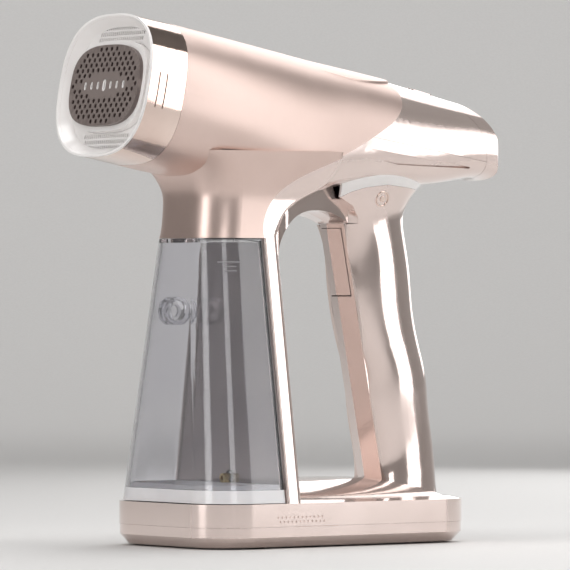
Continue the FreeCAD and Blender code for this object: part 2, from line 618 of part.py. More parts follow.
def hose(points, radius, bend, bore=0.0):
    """Round hose along straight runs joined by tangent arcs."""
    corners = [vec(*p) for p in points]
    edges = []
    here = corners[0]
    for i in range(1, len(corners) - 1):
        to_before = (corners[i - 1] - corners[i]).normalize()
        to_after = (corners[i + 1] - corners[i]).normalize()
        half_angle = to_before.getAngle(to_after) / 2
        reach = bend / math.tan(half_angle)
        start = corners[i] + to_before * reach
        end = corners[i] + to_after * reach
        centre = corners[i] + (to_before + to_after).normalize() * (bend / math.sin(half_angle))
        middle = centre + (corners[i] - centre).normalize() * bend
        edges.append(Part.LineSegment(here, start).toShape())
        edges.append(Part.Arc(start, middle, end).toShape())
        here = end
    edges.append(Part.LineSegment(here, corners[-1]).toShape())
    path = Part.Wire(edges)
    first = (corners[1] - corners[0]).normalize()
    profile = Part.Wire([Part.makeCircle(radius, corners[0], first)])
    solid = path.makePipeShell([profile], True, True)
    if bore:
        inner = Part.Wire([Part.makeCircle(bore, corners[0], first)])
        solid = solid.cut(path.makePipeShell([inner], True, True))
    return solid


HOSE_RADIUS = 2.0
SPINE_MID_Y = (SPINE_FRONT_Y + SPINE_REAR_Y) / 2
SOCKET_Z = 34.0
suction = hose([(0, SPINE_MID_Y, SOCKET_Z - 5.95), (0, SPINE_MID_Y, PUMP_Z), (0, PUMP_Y - 6.2, PUMP_Z)],
               HOSE_RADIUS, 9.0, 1.0)
node("suction_hose", suction)
return_x = -13.0
lid_end = head_point(0, -8.0, lid_back + 8.2)
lid_out = head_point(0, -8.0, lid_back + 22.0)
steam = hose([(0, pump_end + 6.2, PUMP_Z), (0, pump_end + 16.0, PUMP_Z), (return_x, pump_end + 16.0, PUMP_Z),
              (return_x, SPINE_MID_Y, PUMP_Z), (return_x, SPINE_MID_Y, 176.0), (0, lid_out.y, lid_out.z),
              (0, lid_end.y, lid_end.z)], HOSE_RADIUS, 6.0, 1.0)
node("pump_hose", steam)

# socket in the spine that takes the tank's spigot
SPIGOT_RADIUS = 4.0
socket_hole = rod((0, SPINE_FRONT_Y - 1, SOCKET_Z), (0, SPINE_FRONT_Y + WALL + 0.5, SOCKET_Z), SPIGOT_RADIUS + RUN)
socket = rod((0, SPINE_FRONT_Y + WALL + 0.05, SOCKET_Z), (0, SPINE_REAR_Y - WALL - 0.3, SOCKET_Z), SPIGOT_RADIUS + 1.9)
socket = socket.cut(rod((0, SPINE_FRONT_Y, SOCKET_Z), (0, SPINE_MID_Y + 1.2, SOCKET_Z), SPIGOT_RADIUS + RUN))
socket = socket.cut(rod((0, SPINE_MID_Y, SOCKET_Z), (0, SPINE_MID_Y, SOCKET_Z - 9), 1.0))


node("barrel_shell", front_shell)

# ---------------------------------------------------------------- tail: cap, top cover, side frames
cap = rear_shell.cut(tail_profile(TAIL_CAP_LENGTH, CAP_CROWN))
node("tail_cap", max(cap.Solids, key=lambda piece: piece.Volume))
rear_body = rear_shell.common(tail_profile(TAIL_CAP_LENGTH + 0.15, CAP_CROWN))
CREASE_SLOPE = -0.147
crease_z = 205.8 - CREASE_SLOPE * (-34.8)


def crease_at(y):
    """Height of the seam between tail cover and side frames."""
    return 205.8 + CREASE_SLOPE * (y - 34.8)


above_crease = side_prism([(0, crease_at(0)), (160, crease_at(160)), (160, 290), (0, 290)], WIDE)
below_crease = side_prism([(-100, crease_at(-100) - 0.15), (160, crease_at(160) - 0.15), (160, -20), (-100, -20)],
                          WIDE)
BUTTON_BACK = 190.5
BUTTON_LENGTH = 17.0
BUTTON_WIDTH = 7.0


def button_block(grow, low, high):
    """Obround along the tail, from one height above the head axis to another."""
    radius = BUTTON_WIDTH / 2 + grow
    half = BUTTON_LENGTH / 2 - BUTTON_WIDTH / 2
    rise = vec(0, high - low, 0)
    ends = [Part.makeCylinder(radius, high - low, vec(0, low, -BUTTON_BACK - k * half), rise) for k in (-1, 1)]
    middle = Part.makeBox(2 * radius, high - low, 2 * half, vec(-radius, low, -BUTTON_BACK - half))
    return in_head(middle.fuse(ends).removeSplitter())


tail_cover = rear_body.common(above_crease).cut(button_block(RUN, 20, 60))
node("tail_cover", tail_cover)
button_top = barrel_loft(-0.9).common(button_block(0.0, 31.5, 45))
stem = in_head(Part.makeCylinder(1.6, 4.2, vec(0, 27.6, -BUTTON_BACK), vec(0, 1, 0)))
flange = button_block(1.2, 31.2, 32.2)
node("power_button", button_top.fuse([stem, flange]).removeSplitter())
BOARD_UP = 22.0
board = in_head(Part.makeBox(30, 1.6, 42, vec(-15, BOARD_UP, -BUTTON_BACK - 20)))
switch = in_head(Part.makeBox(6, 2.5, 6, vec(-3, BOARD_UP + 1.6, -BUTTON_BACK - 3)))
parts_on_board = [in_head(Part.makeBox(10, 4, 12, vec(-13, BOARD_UP + 1.6, -BUTTON_BACK + 6))),
                  in_head(Part.makeCylinder(3.5, 7, vec(9, BOARD_UP + 1.6, -BUTTON_BACK + 12), vec(0, 1, 0)))]
board_holes = [in_head(Part.makeCylinder(1.3, 5, vec(x, BOARD_UP - 2, -BUTTON_BACK + z), vec(0, 1, 0)))
               for x, z in ((-12.5, -17), (12.5, -17), (12.5, 3))]
node("control_board", board.fuse([switch] + parts_on_board).removeSplitter().cut(Part.makeCompound(board_holes)))

recess = side_prism([(31.5, 200.2), (35.0, 196.6), (39.5, 194.3), (50.0, 192.4), (99.0, 191.2), (99.0, 192.0)], WIDE)
recess_floor = skin_outer.common(box(-WIDE, WIDE, 25, 105, 180, 205))
RECESS_DEPTH = 1.0
recess_cuts = []
for side in (-1, 1):
    pocket_core = barrel_loft(RECESS_DEPTH)
    recess_cuts.append(recess.common(box(min(0, side * WIDE), max(0, side * WIDE), 0, 160, 150, 260)).cut(pocket_core))
frame = rear_body.common(below_crease).cut(recess_cuts[0]).cut(recess_cuts[1])
LOOM_Y = 58.0
loom_hole = rod((0, LOOM_Y, 160), (0, LOOM_Y, 200), 3.4)
frame = frame.cut(socket_hole).cut(loom_hole)
frame_right = frame.common(box(0, WIDE, -120, 160, 0, 290))
frame_left = frame.common(box(-WIDE, 0, -120, 160, 0, 290))
node("frame_right", frame_right)
node("frame_left", frame_left)
node("water_socket", socket)

# ---------------------------------------------------------------- handle


def handle_mid(z):
    return HANDLE_MID_Y + HANDLE_LEAN * (HANDLE_MID_Z - z)


def crease_y(z):
    """Front crease between strip and side panels."""
    return 38.9 + 0.185 * (100.7 - z)


HANDLE_FLARE = [(166.0, 17.5, 68.0, 18.2), (172.0, 7.0, 70.5, 20.0), (177.0, -4.0, 74.0, 21.8),
                (182.0, -14.0, 79.0, 23.2), (188.0, -18.0, 84.0, 24.0)]
HANDLE_FOOT = [(BASE_TOP_Z - 0.5, 42.0, 88.6, 22.0), (28.0, 45.0, 88.2, 19.4)]
HANDLE_STRAIGHT = [(40.0, 2.0), (60.0, 1.0), (100.0, 0.8), (140.0, 0.0), (156.0, 0.0)]   # height, less at the back


def handle_wire(z, front, rear, half_width, inset):
    middle = (front + rear) / 2
    half = (rear - front) / 2 - inset
    return oval(half_width - inset, half, half, 2.3, 2.3, lambda x, y: vec(x, middle + y, z))


def handle_loft(inset):
    straight = []
    for z, less in HANDLE_STRAIGHT:
        straight.append((z, handle_mid(z) - HANDLE_HALF_DEPTH, handle_mid(z) + HANDLE_HALF_DEPTH - less,
                         HANDLE_HALF_WIDTH))
    levels = HANDLE_FOOT + straight + HANDLE_FLARE
    wires = [handle_wire(z, front, rear, half, inset) for z, front, rear, half in levels]
    return loft(wires).translated(vec(0, 0, -inset * 0.4))


STRIP_OUTER = STRIP_HALF_WIDTH - 0.15
STRIP_INNER = STRIP_HALF_WIDTH - WALL
RAIL_DEPTH = 7.0


def lean_prism(section, low, high):
    """Prism that follows the lean of the crease; section is (x, distance behind the crease)."""
    wires = []
    for z in (low, high):
        corners = [vec(x, crease_y(z) + behind, z) for x, behind in section]
        wires.append(Part.makePolygon(corners + [corners[0]]))
    return loft(wires, True)


def prow_section(half_width, front, rear):
    """Solid section with the shallow ridge in front and a straight back."""
    return [(-half_width, front), (0, front - STRIP_RIDGE), (half_width, front), (half_width, rear),
            (-half_width, rear)]


STRIP_U = [(-STRIP_OUTER, RAIL_DEPTH), (-STRIP_OUTER, 0.0), (0, -STRIP_RIDGE), (STRIP_OUTER, 0.0),
           (STRIP_OUTER, RAIL_DEPTH), (STRIP_INNER, RAIL_DEPTH), (STRIP_INNER, WALL), (0, WALL - STRIP_RIDGE),
           (-STRIP_INNER, WALL), (-STRIP_INNER, RAIL_DEPTH)]
STRIP_TOP_Z = 162.5
front_cut = side_prism([(crease_y(0), 0), (crease_y(STRIP_TOP_Z), STRIP_TOP_Z), (17.5, 166), (8.0, 172),
                        (-40, 172), (-40, 0)], WIDE)
handle_outer = handle_loft(0.0).cut(front_cut)
handle_inner = handle_loft(WALL)
strip_core = lean_prism(prow_section(STRIP_OUTER, 0.0, RAIL_DEPTH), BASE_TOP_Z - 1, STRIP_TOP_Z)

# window liner: covers the back of the spine, curves over the finger opening and runs down to the strip
LINER_REAR_Y = SPINE_REAR_Y + 1.7
LINER_SPLIT_Z = 146.0
LINER_ARCH = [(LINER_REAR_Y, LINER_SPLIT_Z), (LINER_REAR_Y + 1.0, 153.0), (-20.0, 160.0), (-13.0, 165.5),
              (-4.0, 168.4), (4.0, WINDOW_TOP_Z), (11.0, 168.2), (17.0, 166.2), (21.4, 164.2), (24.2, 162.6)]
LINER_BACK = [(28.4, 162.6), (27.2, 166.0), (23.2, 171.2), (18.5, 175.6), (14.0, 190.0),
              (SPINE_REAR_Y - 3, 190.0), (SPINE_REAR_Y - 3, LINER_SPLIT_Z)]
LINER_PLAN = [(26.2, LINER_REAR_Y - 0.3), (27.9, -22.2), (26.4, -14.0), (23.0, -4.0), (20.0, 4.0), (17.4, 12.0),
              (15.2, 20.0), (13.2, 28.6)]
LINER_REACH = 30.0


def liner_outline(x):
    """Side outline at the distance x from the middle; towards the strip it falls back into a ridge."""
    points = []
    for y, z in LINER_ARCH:
        share = min(1.0, max(0.0, (y - 4.0) / 18.0))
        points.append(vec(x, y + share * STRIP_RIDGE * abs(x) / STRIP_OUTER, z))
    curve = Part.BSplineCurve()
    curve.interpolate(points)
    back = [vec(x, y + STRIP_RIDGE * abs(x) / STRIP_OUTER * (1 if y > 20 else 0), z) for y, z in LINER_BACK]
    corners = [points[-1]] + back + [points[0]]
    return Part.Wire([curve.toShape()] + [Part.makeLine(a, b) for a, b in zip(corners, corners[1:])])


liner_side = [vec(x, y, 0) for x, y in LINER_PLAN]
liner_edges = []
for sign in (1, -1):
    curve = Part.BSplineCurve()
    curve.interpolate([vec(sign * point.x, point.y, 0) for point in liner_side])
    liner_edges.append(curve.toShape())
first, last = LINER_PLAN[0], LINER_PLAN[-1]
liner_edges.append(Part.makeLine(vec(last[0], last[1], 0), vec(-last[0], last[1], 0)))
ring = [vec(first[0], first[1], 0), vec(27.0, first[1], 0), vec(27.0, -40, 0), vec(-27.0, -40, 0),
        vec(-27.0, first[1], 0), vec(-first[0], first[1], 0)]
liner_edges += [Part.makeLine(a, b) for a, b in zip(ring, ring[1:])]
liner_plan = Part.Face(Part.Wire(Part.__sortEdges__(liner_edges))).extrude(vec(0, 0, 200))
liner_wedge = loft([liner_outline(-LINER_REACH), liner_outline(0.0)], True).fuse(
    loft([liner_outline(0.0), liner_outline(LINER_REACH)], True)).removeSplitter()
liner_high = liner_wedge.common(liner_plan)
liner_column = loft([plan_wire(z, -90, LINER_REAR_Y, half, half, 2, 2)
                     for z, half in ((BASE_TOP_Z, 47.6), (LINER_SPLIT_Z, 28.0))], True)
liner_column = liner_column.common(box(-WIDE, WIDE, SPINE_REAR_Y - 3, 0, 0, 200))
liner_core = liner_high.translated(vec(0, -1.8, 2.2)).common(box(-13, 13, -25, 12, 150, 190))
liner = liner_high.fuse(liner_column).cut(skin_outer)
liner = max(liner.Solids, key=lambda piece: piece.Volume)
liner = liner.cut(liner_core).cut(base_outer)
node("window_liner", liner)

handle_skin = handle_outer.cut(skin_outer).cut(handle_inner).cut(base_outer)
handle_skin = handle_skin.cut(strip_core)
# side outline of the panels, and of the white collar above them
PANEL_LINE = [(18.9, 175.8), (24.0, 178.3), (32.0, 180.6), (46.0, 182.2), (60.0, 181.2), (110.0, 176.0)]
PANEL_EDGE = [(crease_y(0) - 3, 0), (crease_y(162.0) - 3, 162.0), (32.8, 162.5), (31.6, 166.0), (27.6, 171.3)]
panel_zone = side_prism(PANEL_EDGE + PANEL_LINE + [(110.0, 0)], WIDE)
collar_zone = side_prism([(y, z + 0.1) for y, z in PANEL_LINE] + [(110.0, 215.0), (14.0, 215.0), (18.6, 175.9)], WIDE)


def largest(shape):
    return max(shape.Solids, key=lambda piece: piece.Volume)


panels = handle_skin.common(panel_zone)
node("handle_panel_right", largest(panels.common(box(0, WIDE, 0, 120, 0, 220))))
node("handle_panel_left", largest(panels.common(box(-WIDE, 0, 0, 120, 0, 220))))
node("handle_collar", largest(handle_skin.common(collar_zone)))
strip = lean_prism(STRIP_U, BASE_TOP_Z - 1, STRIP_TOP_Z).cut(base_outer)

# ---------------------------------------------------------------- trigger and its switch
TRIGGER_HALF = 8.4
trigger_low = TRIGGER_TOP_Z - TRIGGER_LENGTH
PIN_Z = TRIGGER_TOP_Z - 4.0
PIN_Y = crease_y(PIN_Z) + 5.0
half_opening = TRIGGER_HALF + RUN
opening = lean_prism([(-half_opening, -6.0), (half_opening, -6.0), (half_opening, 3.4), (-half_opening, 3.4)],
                     trigger_low - 10, TRIGGER_TOP_Z + 8)
strip = strip.cut(opening.common(box(-20, 20, 0, 80, trigger_low - 0.6, TRIGGER_TOP_Z + RUN)))
ears = []
for side in (-1, 1):
    x0, x1 = sorted((side * (STRIP_INNER - 0.2), side * (STRIP_OUTER - 0.2)))
    ears.append(box(x0, x1, PIN_Y - 3.0, PIN_Y + 3.0, PIN_Z - 3.0, PIN_Z + 3.0))
strip = strip.fuse(ears).removeSplitter()
strip = strip.cut(rod((-20, PIN_Y, PIN_Z), (20, PIN_Y, PIN_Z), PIN_RADIUS))
node("handle_strip", strip)

TRIGGER_WALL = 2.4
trigger_front = -0.4 - STRIP_RIDGE
trigger_edge = trigger_front + STRIP_RIDGE * TRIGGER_HALF / STRIP_OUTER
trigger_section = [(-TRIGGER_HALF, trigger_edge), (0, trigger_front), (TRIGGER_HALF, trigger_edge),
                   (TRIGGER_HALF, trigger_edge + TRIGGER_WALL), (0, trigger_front + TRIGGER_WALL),
                   (-TRIGGER_HALF, trigger_edge + TRIGGER_WALL)]
trigger = lean_prism(trigger_section, trigger_low - 4, TRIGGER_TOP_Z + 4)
trigger = trigger.common(box(-TRIGGER_HALF - 1, TRIGGER_HALF + 1, 0, 60, trigger_low, TRIGGER_TOP_Z))
boss = rod((-7.0, PIN_Y, PIN_Z), (7.0, PIN_Y, PIN_Z), 3.2)
web = box(-7.0, 7.0, crease_y(PIN_Z) - 1.0, PIN_Y, PIN_Z - 2.4, PIN_Z + 2.4)
RIB_Z = PIN_Z - 21.0
rib = box(-2.0, 2.0, crease_y(RIB_Z) - 1.0, crease_y(RIB_Z) + 6.0, RIB_Z - 1.5, RIB_Z + 1.5)
spring_slot = box(-3.2, 3.2, PIN_Y - 3.6, PIN_Y + 8, PIN_Z - 8, PIN_Z + 8)
trigger = trigger.fuse([boss, web, rib]).removeSplitter()
trigger = trigger.cut(spring_slot).cut(rod((-9, PIN_Y, PIN_Z), (9, PIN_Y, PIN_Z), PIN_RADIUS + PIN_FIT))
node("trigger", trigger)
node("trigger_pin", rod((-STRIP_OUTER + 0.2, PIN_Y, PIN_Z), (STRIP_OUTER - 0.2, PIN_Y, PIN_Z), PIN_RADIUS))
coil_length = 5.2
spring = helix_spring(PIN_RADIUS + 0.75, 0.35, 5, (-coil_length / 2, PIN_Y, PIN_Z), (1, 0, 0), coil_length)
node("trigger_spring", spring)

SWITCH_FRONT = crease_y(RIB_Z) + 10.0
switch_body = box(-3.2, 3.2, SWITCH_FRONT, SWITCH_FRONT + 9.0, RIB_Z - 9.0, RIB_Z + 4.0)
plunger_hole = rod((0, SWITCH_FRONT - 1, RIB_Z), (0, SWITCH_FRONT + 7.0, RIB_Z), 1.2 + PIN_FIT)
node("microswitch", switch_body.cut(plunger_hole))
node("switch_plunger", rod((0, crease_y(RIB_Z) + 6.0 + RUN, RIB_Z), (0, SWITCH_FRONT + 3.2, RIB_Z), 1.2))

# ---------------------------------------------------------------- wiring inside the handle
board_end = head_point(0, BOARD_UP - 3.0, BUTTON_BACK - 4)
loom = hose([(0, 60.0, 9.0), (0, 68.5, 9.0), (0, 68.5, 34.0), (0, 55.5, 140.0), (0, LOOM_Y, 168.0),
             (0, LOOM_Y, 198.0), (0, board_end.y, board_end.z)], 2.0, 7.0)
node("handle_loom", loom)
heater_end = head_point(-11.0, 7.5, chamber_back + 15.5)
heater_mid = head_point(-11.0, 7.5, chamber_back + 45)
board_side = head_point(-9.0, BOARD_UP - 3.0, BUTTON_BACK - 18)
board_fore = head_point(-9.0, 5.0, BUTTON_BACK - 60)
node("heater_loom", hose([(heater_end.x, heater_end.y, heater_end.z), (heater_mid.x, heater_mid.y, heater_mid.z),
                          (board_fore.x, board_fore.y, board_fore.z), (board_side.x, board_side.y, board_side.z)],
                         1.6, 9.0))

# ---------------------------------------------------------------- water tank


def tank_wire(z, inset):
    front = tank_value(TANK_FRONT_FOOT, TANK_FRONT_TOP, z) + inset
    half = tank_value(TANK_HALF_FOOT, TANK_HALF_TOP, z) - inset
    corner = tank_value(TANK_CORNER_FOOT, TANK_CORNER_TOP, z) - inset
    return plan_wire(z, front, SPINE_FRONT_Y - TANK_GAP - inset, half, half, corner, 3.0 - inset * 0.8)


def tank_loft(inset, low, high):
    return loft([tank_wire(low, inset), tank_wire(high, inset)], True)


FLOOR_TOP_Z = TANK_FOOT_Z + TANK_FLOOR_BAND
tank = tank_loft(0.0, FLOOR_TOP_Z + 0.1, TANK_TOP_Z).cut(tank_loft(TANK_WALL, FLOOR_TOP_Z - 1, TANK_TOP_Z - TANK_WALL))
PLUG_Z = 118.0
PLUG_Y = -45.4
PLUG_RADIUS = 5.2
plug_wall = -tank_value(TANK_HALF_FOOT, TANK_HALF_TOP, PLUG_Z - 10)
plug_seat = rod((plug_wall - 1.6, PLUG_Y, PLUG_Z), (plug_wall + 7.0, PLUG_Y, PLUG_Z), PLUG_RADIUS + 2.0)
plug_seat = plug_seat.cut(tank_loft(TANK_WALL, FLOOR_TOP_Z - 1, TANK_TOP_Z - TANK_WALL).common(
    box(-WIDE, plug_wall + 3.4, -100, 0, 0, 200)))
plug_bore = rod((plug_wall - 3, PLUG_Y, PLUG_Z), (plug_wall + 9, PLUG_Y, PLUG_Z), PLUG_RADIUS + 0.3)
tank = tank.fuse(plug_seat).removeSplitter().cut(plug_bore)
spigot = rod((0, SPINE_FRONT_Y - TANK_GAP - TANK_WALL, SOCKET_Z), (0, SPINE_MID_Y - 0.6, SOCKET_Z), SPIGOT_RADIUS)
spigot_bore = rod((0, SPINE_FRONT_Y - 8, SOCKET_Z), (0, SPINE_MID_Y, SOCKET_Z), 2.4)
tank = tank.fuse(spigot).removeSplitter().cut(spigot_bore)
print("tank solids", [round(p.Volume) for p in tank.Solids])
node("tank_body", tank)
floor = tank_loft(0.0, TANK_FOOT_Z, FLOOR_TOP_Z)
floor = floor.cut(tank_loft(TANK_WALL + 1.4, TANK_FOOT_Z + TANK_WALL, FLOOR_TOP_Z + 1))
lip = tank_loft(TANK_WALL + 0.05, FLOOR_TOP_Z - 0.5, FLOOR_TOP_Z + 2.4)
lip = lip.cut(tank_loft(TANK_WALL + 1.4, FLOOR_TOP_Z - 1, FLOOR_TOP_Z + 3))
node("tank_floor", floor.fuse(lip).removeSplitter().cut(spigot_bore))
node("tank_valve", tube((0, SPINE_FRONT_Y - 6.0, SOCKET_Z), (0, SPINE_MID_Y - 2.0, SOCKET_Z), 2.4, 1.2))
node("spigot_seal", Part.makeTorus(SPIGOT_RADIUS - 0.1, 0.75, vec(0, SPINE_FRONT_Y + 2.2, SOCKET_Z), vec(0, 1, 0)).cut(
    rod((0, SPINE_FRONT_Y, SOCKET_Z), (0, SPINE_FRONT_Y + 6, SOCKET_Z), SPIGOT_RADIUS)).common(
    rod((0, SPINE_FRONT_Y, SOCKET_Z), (0, SPINE_FRONT_Y + 6, SOCKET_Z), SPIGOT_RADIUS + RUN - 0.02)))
plug = rod((plug_wall - 1.9, PLUG_Y, PLUG_Z), (plug_wall + 4.0, PLUG_Y, PLUG_Z), PLUG_RADIUS)
plug = plug.cut(rod((plug_wall, PLUG_Y, PLUG_Z), (plug_wall + 6.0, PLUG_Y, PLUG_Z), PLUG_RADIUS - 2.0))
plug = plug.fuse([rod((plug_wall - 3.4, PLUG_Y, PLUG_Z), (plug_wall - 1.9, PLUG_Y, PLUG_Z), PLUG_RADIUS + 2.0),
                  box(plug_wall - 6.0, plug_wall - 3.2, PLUG_Y - 1.2, PLUG_Y + 1.2, PLUG_Z - 6, PLUG_Z + 6)])
node("fill_plug", plug.removeSplitter())

# ---------------------------------------------------------------- middle the outline over the origin and write
whole = FreeCAD.BoundBox()
for name in ("base_housing", "front_rim", "tail_cap", "barrel_shell", "rubber_feet"):
    whole.add(NODES[name].optimalBoundingBox(False))
SHIFT = vec(-(whole.XMin + whole.XMax) / 2, -(whole.YMin + whole.YMax) / 2, -whole.ZMin)
print("shift", [round(v, 4) for v in SHIFT], "size", round(whole.XLength, 2), round(whole.YLength, 2),
      round(whole.ZLength, 2))
os.makedirs("parts", exist_ok=True)
for name, shape in NODES.items():
    moved = shape.copy()
    moved.translate(SHIFT)
    moved.exportStep("parts/" + name + ".step")
    print(name, len(shape.Solids), round(shape.Volume), "valid" if shape.isValid() else "INVALID")
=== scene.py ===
# %% [markdown]
# # A garment steamer, dressed for its picture
# This lesson takes a finished assembly of a hand-held garment steamer and gives it its looks. The hard
# shapes come from a CAD model: barrel, tank, handle, base and everything inside. What is added here is what
# a CAD model has no word for: finishes, small moulded marks, a floor and soft light. A small kit loads the
# CAD pieces as fixed objects, in metres, already in their places.

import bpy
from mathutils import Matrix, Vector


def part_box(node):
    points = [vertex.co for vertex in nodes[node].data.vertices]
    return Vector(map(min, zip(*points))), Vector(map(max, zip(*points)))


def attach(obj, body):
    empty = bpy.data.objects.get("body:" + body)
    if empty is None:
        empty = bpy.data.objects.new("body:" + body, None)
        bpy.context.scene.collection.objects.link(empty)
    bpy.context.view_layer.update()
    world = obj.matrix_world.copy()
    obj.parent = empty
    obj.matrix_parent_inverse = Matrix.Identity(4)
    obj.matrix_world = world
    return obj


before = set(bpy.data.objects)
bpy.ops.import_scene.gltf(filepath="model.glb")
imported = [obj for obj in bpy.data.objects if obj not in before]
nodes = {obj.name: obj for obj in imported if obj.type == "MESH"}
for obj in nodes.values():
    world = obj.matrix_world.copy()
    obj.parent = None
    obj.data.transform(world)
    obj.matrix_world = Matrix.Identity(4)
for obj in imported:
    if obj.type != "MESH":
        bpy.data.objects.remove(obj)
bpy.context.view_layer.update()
print("pieces from the CAD model:", len(nodes))

# %% [markdown]
# ## Tools
# The cells below use Blender's own modules: `bpy` for operators and materials, `bmesh` for choosing faces and
# edges in edit mode, and `mathutils` for points and directions.

# %% Import them
import math

import bmesh
import bpy
from mathutils import Vector

print("Blender", bpy.app.version_string)

# %% [markdown]
# ## Where the model stands
# The CAD model was drawn with the rear of its base at 90 mm and then centred, which moved all of it a little
# along Y. The rear of the base tells by how much, and the camera and the added marks follow.

# %% Read the places
BASE_REAR_DRAWN = 0.090
base_low, base_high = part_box("base_housing")
tank_low, tank_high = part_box("tank_body")
back_shift = base_high.y - BASE_REAR_DRAWN
print("the CAD outline was moved along Y by", round(1000 * back_shift, 2), "mm")
print("tank stands between", round(tank_low.z, 4), "and", round(tank_high.z, 4), "m")

# %% [markdown]
# ## A clean start for every piece
# Operators act on all that is selected, and the loader leaves its objects selected. So before a new piece
# is made, everything is deselected. When a piece is done, its place must be in its mesh: the object itself
# goes back to the origin, unturned and unscaled, which is how the CAD pieces are stored too.

# %% Helpers for modelling by hand
def clear_selection():
    if bpy.context.object and bpy.context.object.mode != "OBJECT":
        bpy.ops.object.mode_set(mode="OBJECT")
    bpy.ops.object.select_all(action="DESELECT")


def settle(piece, name):
    """Put the piece's place into its mesh and give it its name."""
    clear_selection()
    piece.select_set(True)
    bpy.context.view_layer.objects.active = piece
    bpy.ops.object.transform_apply(location=True, rotation=True, scale=True)
    piece.name = name
    piece.data.name = name
    return piece


def select_faces(piece, test):
    """In edit mode, select the faces whose centre and normal pass the test; returns how many."""
    mesh = bmesh.from_edit_mesh(piece.data)
    count = 0
    for face in mesh.faces:
        chosen = test(face.calc_center_median(), face.normal)
        face.select_set(chosen)
        count += chosen
    bmesh.update_edit_mesh(piece.data)
    return count


def round_edges(piece, width, segments=3):
    bevel = piece.modifiers.new("rounding", "BEVEL")
    bevel.width = width
    bevel.segments = segments
    bevel.limit_method = "ANGLE"
    bevel.angle_limit = math.radians(35)
    clear_selection()
    bpy.context.view_layer.objects.active = piece
    piece.select_set(True)
    bpy.ops.object.modifier_apply(modifier=bevel.name)


print("modelling helpers are ready")

# %% [markdown]
# ## The camera
# A product picture is taken from far away with a long lens, so that upright edges stay upright. The camera
# is level and looks from the front right. Instead of tipping it, its sensor is shifted a little upwards,
# as an architect's camera does, which keeps the tank and the handle from leaning.

# %% Place the camera
CAMERA_TURN = math.radians(55)
CAMERA_DISTANCE = 2.824
CAMERA_ASIDE = -0.0013
CAMERA_HEIGHT = 0.1236
SENSOR_WIDTH = 36
LENS_RATIO = 5563 / 570
SHIFT_UP = 15 / 570
sideways = Vector((math.cos(CAMERA_TURN), math.sin(CAMERA_TURN), 0))
towards = Vector((math.sin(CAMERA_TURN), -math.cos(CAMERA_TURN), 0))
camera_data = bpy.data.cameras.new("camera")
camera = bpy.data.objects.new("camera", camera_data)
bpy.context.scene.collection.objects.link(camera)
camera.location = (towards * CAMERA_DISTANCE + sideways * CAMERA_ASIDE
                   + Vector((0, back_shift, CAMERA_HEIGHT)))
camera.rotation_euler = (math.radians(90), 0, CAMERA_TURN)
camera_data.sensor_width = SENSOR_WIDTH
camera_data.lens = SENSOR_WIDTH * LENS_RATIO
camera_data.shift_y = SHIFT_UP
camera_data.clip_end = 50
bpy.context.scene.camera = camera
print("camera at", [round(v, 3) for v in camera.location], "lens", round(camera_data.lens, 1), "mm")

# %% [markdown]
# ## Floor and backdrop
# Studios use a sweep: paper that lies on the table, bends up in a wide curve and hangs behind the object,
# so that no horizon line crosses the picture. It starts as a plane. Its far edge is extruded upwards, and the
# fold between floor and wall is bevelled into the curve.

# %% Make the sweep
clear_selection()
SWEEP_SIZE = 9
NEAR_FAR_EDGE = SWEEP_SIZE / 2 - 0.5
bpy.ops.mesh.primitive_plane_add(size=SWEEP_SIZE)
sweep = bpy.context.object
bpy.ops.object.mode_set(mode="EDIT")
bpy.ops.mesh.select_mode(type="EDGE")
sweep_mesh = bmesh.from_edit_mesh(sweep.data)
for edge in sweep_mesh.edges:
    edge.select_set(all(v.co.y > NEAR_FAR_EDGE for v in edge.verts))
bmesh.update_edit_mesh(sweep.data)
bpy.ops.mesh.extrude_region_move(TRANSFORM_OT_translate={"value": (0, 0, 6)})
sweep_mesh = bmesh.from_edit_mesh(sweep.data)
for edge in sweep_mesh.edges:
    edge.select_set(all(v.co.y > NEAR_FAR_EDGE and abs(v.co.z) < 0.01 for v in edge.verts))
bmesh.update_edit_mesh(sweep.data)
bpy.ops.mesh.bevel(offset=2.2, segments=16, affect="EDGES")
bpy.ops.object.mode_set(mode="OBJECT")
sweep.rotation_euler = (0, 0, CAMERA_TURN)
sweep.location = -towards * 0.3
sweep = settle(sweep, "sweep")
bpy.ops.object.shade_smooth()
print("sweep has", len(sweep.data.polygons), "faces")

# %% [markdown]
# ## Light
# Glossy plastic shows the lamps more than it shows itself. Long soft boxes beside the object draw the
# upright bright bands along the handle and the tank, a wide one from above lights the satin barrel, and the
# dim space between the boxes becomes the darker bands. The world gives a low, warm fill.

# %% Set the soft boxes
def soft_box(name, place, aim, size, power):
    data = bpy.data.lights.new(name, "AREA")
    data.shape = "RECTANGLE"
    data.size = size[0]
    data.size_y = size[1]
    data.energy = power
    lamp = bpy.data.objects.new(name, data)
    bpy.context.scene.collection.objects.link(lamp)
    lamp.location = place
    lamp.rotation_euler = (Vector(aim) - Vector(place)).to_track_quat("-Z", "Y").to_euler()


def seen(forward, aside, up):
    """A place counted from the middle of the floor as the camera sees it."""
    return towards * forward + sideways * aside + Vector((0, 0, up))


